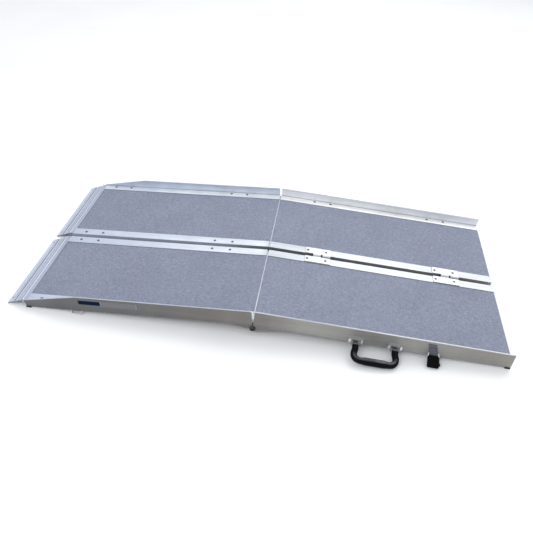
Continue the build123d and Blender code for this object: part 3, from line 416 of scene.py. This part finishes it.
def buckle_material(joint):
    """Black buckle with a bright wire ring, which is everything above the buckle's top and cut corners."""
    shader = Shader(joint["child"] + "_buckle")
    shader.surface.inputs["Specular IOR Level"].default_value = 0.05
    place = shader.place()
    reach, across = from_axis(shader, place, joint)
    across = shader.number("ABSOLUTE", across)
    above = shader.number("LESS_THAN", reach, BUCKLE_TOP)
    offset = shader.number("SUBTRACT", across, reach)
    beside = shader.number("GREATER_THAN", offset, SHOULDER_OFFSET)
    near = shader.number("LESS_THAN", reach, SHOULDER_END)
    beside = shader.number("MULTIPLY", beside, near)
    ring = shader.number("MAXIMUM", above, beside)
    cloud = shader.noise(place, 60.0, 4.0)
    black = shader.ramp(cloud, [(0.3, 0.0018), (0.7, 0.0035)])
    shader.link(shader.mix(ring, black, RING_STEEL), "Base Color")
    shader.link(ring, "Metallic")
    rough = shader.ramp(cloud, [(0.3, 0.40), (0.7, 0.52)])
    shader.link(shader.mix(ring, rough, RING_ROUGHNESS), "Roughness")
    shader.link(shader.bump(shader.noise(place, 1500.0, 2.0), 0.0001, 0.4), "Normal")
    return shader.material


# ---------------------------------------------------------------- webbing

WEB_WIDTH = 0.025
WEB_THICK = 0.0015
WEB_RIBS = 8                # lengthwise ribs across the width
RIB_HEIGHT = 0.00010
EDGE_STEPS = 6
FACE_STEPS = 64
STRAP_RISE = 0.033          # swing axis to the webbing's top
STRAP_LEAN = 0.011          # the top is this far towards the mid joint
BAR_WRAP = 0.00235          # swing axis to the middle of the webbing round the ring's bar
FLAP_START = 0.0075         # the free end comes back up the front and lies flat from here
FLAP_END = 0.020
TAIL_SPAN = (0.0050, 0.0188)            # along the tail, from the swing axis
STITCH = (0.0022, 0.0005, 0.0004)       # length, width and height of a stitch
STITCH_BOX = (0.0095, 0.0108, 0.0186)   # half width of the sewn box, its lowest and highest stitches


def piece(name, mesh, body):
    """A new piece in the scene that moves with a CAD body."""
    made = bpy.data.objects.new(name, mesh)
    bpy.context.scene.collection.objects.link(made)
    for polygon in mesh.polygons:
        polygon.use_smooth = True
    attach(made, body)
    return made


def web_profile():
    """Outline of webbing cut across, as (across, outward): ribbed faces and round edges."""
    half, thick = WEB_WIDTH / 2 - WEB_THICK / 2, WEB_THICK / 2
    face = []
    for step in range(FACE_STEPS + 1):
        part = step / FACE_STEPS
        rib = RIB_HEIGHT * (cos(2 * pi * WEB_RIBS * part) - 1) / 2
        face.append((half * (1 - 2 * part), thick + rib))
    edge = []
    for step in range(1, EDGE_STEPS):
        turn = pi / 2 + pi * step / EDGE_STEPS
        edge.append((-half + thick * cos(turn), thick * sin(turn)))
    upper = face + edge
    return upper + [(-x, -y) for x, y in upper]


def webbing_mesh(name, path, across):
    """A closed strip of webbing whose middle follows the path."""
    made = bmesh.new()
    rings = []
    for index, point in enumerate(path):
        ahead = path[min(index + 1, len(path) - 1)] - path[max(index - 1, 0)]
        outward = across.cross(ahead).normalized()
        rings.append([made.verts.new(point + across * x + outward * y) for x, y in web_profile()])
    for low, high in zip(rings, rings[1:]):
        for index in range(len(low)):
            after = (index + 1) % len(low)
            made.faces.new((low[index], low[after], high[after], high[index]))
    made.faces.new(rings[0])
    made.faces.new(rings[-1])
    bmesh.ops.recalc_face_normals(made, faces=made.faces)
    mesh = bpy.data.meshes.new(name)
    made.to_mesh(mesh)
    made.free()
    return mesh


def stitch_mesh(name, stitches, outward):
    """Raised stitches, each a small spindle of thread at (centre, direction)."""
    made = bmesh.new()
    for centre, direction in stitches:
        side = direction.cross(outward)
        axes = [way * size / 2 for way, size in zip((direction, side, outward), STITCH)]
        turn = Matrix(axes).transposed().to_4x4()
        place = Matrix.Translation(centre) @ turn
        bmesh.ops.create_icosphere(made, subdivisions=2, radius=1.0, matrix=place)
    mesh = bpy.data.meshes.new(name)
    made.to_mesh(mesh)
    made.free()
    return mesh


def make_strap(side_name, facing):
    """The fixed webbing with its sewn loop, and the short tail that holds the buckle."""
    joint = joints[f"{side_name}_strap_swing"]
    axis_point = Vector(joint["pos_m"])
    along = Vector(joint["axis"]) * facing          # towards the square end
    out = Vector((0, facing, 0))
    up = along.cross(Vector((0, 1, 0))).normalized()
    up = up if up.z > 0 else -up

    def place(outward, height):
        return axis_point + out * outward + up * height - along * STRAP_LEAN * max(height, 0) / STRAP_RISE

    path = [place(-BAR_WRAP, STRAP_RISE * (1 - step / 12)) for step in range(12)]
    for step in range(13):
        turn = pi * step / 12
        path.append(place(-BAR_WRAP * cos(turn), -BAR_WRAP * sin(turn)))
    flat_out = -BAR_WRAP + WEB_THICK + RIB_HEIGHT
    for step in range(1, 11):
        part = step / 10
        ease = part * part * (3 - 2 * part)
        path.append(place(BAR_WRAP + (flat_out - BAR_WRAP) * ease, FLAP_START * part))
    path += [place(flat_out, FLAP_START + (FLAP_END - FLAP_START) * step / 6) for step in range(1, 7)]
    name = f"{side_name}_webbing"
    webbing = piece(name, webbing_mesh(name, path, along), f"{side_name}_landing")
    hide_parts(f"{side_name}_strap_webbing")

    front = flat_out + WEB_THICK / 2
    half, low, high = STITCH_BOX
    rows = [(place(front, height) + along * half * (2 * step / 7 - 1), along)
            for height in (low, high) for step in range(8)]
    rows += [(place(front, low + (high - low) * step / 4) + along * half * side, up)
             for side in (-1, 1) for step in range(5)]
    name = f"{side_name}_stitches"
    stitches = piece(name, stitch_mesh(name, rows, out), f"{side_name}_landing")

    low_corner, high_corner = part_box(f"{side_name}_strap_tail")
    hang = ((Vector(low_corner) + Vector(high_corner)) / 2 - axis_point).normalized()
    name = f"{side_name}_tail"
    tail_start, tail_end = TAIL_SPAN
    tail_length = tail_end - tail_start
    tail_path = [axis_point + hang * (tail_start + tail_length * step / 8) for step in range(9)]
    tail = piece(name, webbing_mesh(name, tail_path, along), f"{side_name}_strap")
    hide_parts(f"{side_name}_strap_tail")
    return [webbing, tail], [stitches]


def make_floor():
    """The pale floor that the ramp stands on, faintly clouded."""
    reach = FLOOR_REACH
    mesh = bpy.data.meshes.new("floor")
    mesh.from_pydata([(-reach, -reach, 0), (reach, -reach, 0), (reach, reach, 0), (-reach, reach, 0)],
                     [], [(0, 1, 2, 3)])
    floor = bpy.data.objects.new("floor", mesh)
    bpy.context.scene.collection.objects.link(floor)
    shader = Shader("floor").set(Roughness=0.8)
    tone = shader.noise(shader.place(), 3.0, 4.0)
    shader.link(shader.ramp(tone, [(0.3, 0.90), (0.7, 0.93)]), "Base Color")
    mesh.materials.append(shader.material)


def paint(names, material):
    """Give a material to CAD nodes or pieces."""
    for name in names:
        data = (nodes.get(name) or bpy.data.objects[name]).data
        data.materials.clear()
        data.materials.append(material)


def both(*names):
    """The same node of the right and of the left half."""
    return [f"{side}_{name}" for name in names for side, _ in SIDES]


make_camera()
make_studio()

make_floor()

BRACKET_SHADED_FROM = 0.3765  # metres from the middle of the seam to where the brackets are painted dark as shade
# Painted light and shade: tones from the entry tip at 0 to the square end at 1, as (place along the ramp,
# tone), set where each face catches more or less light.
STRIPS = [(0.06, (0.62, 0.68, 0.82)), (0.25, (0.76, 0.82, 0.93)), (0.49, (0.90, 0.93, 0.99)),
          (0.51, (0.62, 0.66, 0.70)), (0.75, (0.57, 0.59, 0.61)), (1.0, (0.54, 0.56, 0.58))]
# The far half's strips: a brighter copy of the near half's tones, painted light.
FAR_STRIPS = [(0.06, (0.78, 0.82, 0.93)), (0.25, (0.95, 0.98, 1.0)), (0.49, (1.0, 1.0, 1.0)),
              (1.0, (1.0, 1.0, 1.0))]
# Inner faces of the side rails, brighter on the landing: painted light.
ENTRY_INSIDE = [(0.06, (0.56, 0.62, 0.74)), (0.49, (0.62, 0.69, 0.79))]
LANDING_INSIDE = [(0.51, (0.95, 0.96, 0.99)), (0.75, (0.93, 0.95, 0.97)), (1.0, (0.78, 0.81, 0.86))]
RAIL_EDGES = [(0.2, (0.60, 0.64, 0.75)), (0.49, (0.56, 0.60, 0.70)), (0.6, (0.30, 0.32, 0.36)),
              (0.8, (0.40, 0.42, 0.45)), (1.0, (0.44, 0.45, 0.48))]
# Walls of the seam gap, painted dark as shade.
GAP_WALLS = [(0.06, (0.54, 0.57, 0.67)), (0.40, (0.56, 0.58, 0.67)), (0.49, (0.34, 0.35, 0.40)),
             (0.51, (0.26, 0.27, 0.29)), (1.0, (0.34, 0.34, 0.34))]
# Outside faces of the side rails, painted dark brownish grey as a reflection of a dark ground.
OUTSIDE = [(0.04, (0.16, 0.165, 0.175)), (0.12, (0.15, 0.15, 0.152)), (0.30, (0.17, 0.168, 0.166)),
           (0.44, (0.21, 0.195, 0.18)), (0.53, (0.23, 0.215, 0.205)), (0.60, (0.36, 0.35, 0.33)),
           (0.76, (0.31, 0.305, 0.295)), (0.88, (0.34, 0.33, 0.315)), (0.98, (0.31, 0.295, 0.27))]
for side_name, facing in SIDES:
    # The far half takes the brighter strip tones: painted light.
    strips = STRIPS if facing < 0 else FAR_STRIPS
    paint([f"{side_name}_entry_side_rail"], drawn_aluminium(
        f"{side_name}_entry_rail_metal", strips, ENTRY_INSIDE, OUTSIDE, facing, RAIL_EDGES, mottle=0.16))
    paint([f"{side_name}_landing_side_rail"], drawn_aluminium(
        f"{side_name}_landing_rail_metal", strips, LANDING_INSIDE, OUTSIDE, facing, RAIL_EDGES, mottle=0.16))
paint(both("entry_centre_rail", "landing_centre_rail"),
      drawn_aluminium("strip_metal", STRIPS, GAP_WALLS))
paint(both("entry_deck", "landing_deck", "entry_crossmembers", "landing_crossmembers"),
      sheet_aluminium("deck_metal", (0.55, 0.56, 0.58), 0.45))
paint(both("entry_butt_bar", "landing_end_bars"),
      drawn_aluminium("bar_metal", (0.80, 0.83, 0.92), (0.62, 0.64, 0.70), along="Y"))
paint(both("entry_tread", "landing_tread"), grit_tread())
paint(both("end_hinge"), drawn_aluminium("hinge_extrusion_metal", (0.50, 0.55, 0.67), along="Y"))
# The upright faces of the plates, the groove walls and the nose, take a darker tone: painted shade.
paint(both("transition_plate"),
      drawn_aluminium("plate_metal", (0.64, 0.69, 0.82), (0.34, 0.37, 0.44), along="Y"))
paint(both("seam_leaves"), drawn_aluminium("hinge_metal", (0.74, 0.76, 0.78), (0.70, 0.73, 0.75)))
paint(both("entry_rivets", "landing_rivets"), sheet_aluminium("rivet_metal", (0.16, 0.165, 0.18), 0.5))
paint(both("entry_hinge_plates"), drawn_aluminium("hinge_plate_metal", (0.20, 0.19, 0.18), roughness=0.5))
paint(both("pivot_bolts", "pivot_nuts"), sheet_aluminium("bolt_steel", (0.07, 0.068, 0.065), 0.42))
paint(["seam_pin_1", "seam_pin_2"], sheet_aluminium("pin_steel", (0.06, 0.06, 0.065), 0.4))
paint(both("handle_brackets"),
      sheet_aluminium("bracket_steel", (0.95, 0.95, 0.96), 0.34, BRACKET_SHADED_FROM))
paint(both("keeper_loop"), sheet_aluminium("bright_wire", (0.55, 0.55, 0.56), 0.26))
for side_name, facing in SIDES:
    paint([f"{side_name}_carry_handle"], handle_material(joints[f"{side_name}_handle_swing"]))
    paint([f"{side_name}_strap_buckle"], buckle_material(joints[f"{side_name}_strap_swing"]))
weave = woven_webbing()
thread = moulded_plastic("thread", (0.035, 0.036, 0.042), 0.8, 3000.0, 0.1)
paint(both("strap_webbing", "strap_tail"), weave)
for side_name, facing in SIDES:
    woven, sewn = make_strap(side_name, facing)
    paint([made.name for made in woven], weave)
    paint([made.name for made in sewn], thread)
paint(both("entry_feet", "landing_feet"), moulded_plastic("shoe_rubber", (0.022, 0.022, 0.022), 0.75, 900.0))
paint(["blue_label"], vinyl_label("blue_vinyl", (0.001, 0.011, 0.034), (0.004, 0.04, 0.07),
                                  *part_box("blue_label"), 0.0015))
paint(["pale_label"], vinyl_label("pale_film", (0.185, 0.185, 0.195), (0.32, 0.32, 0.33),
                                  *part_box("pale_label"), 0.002))
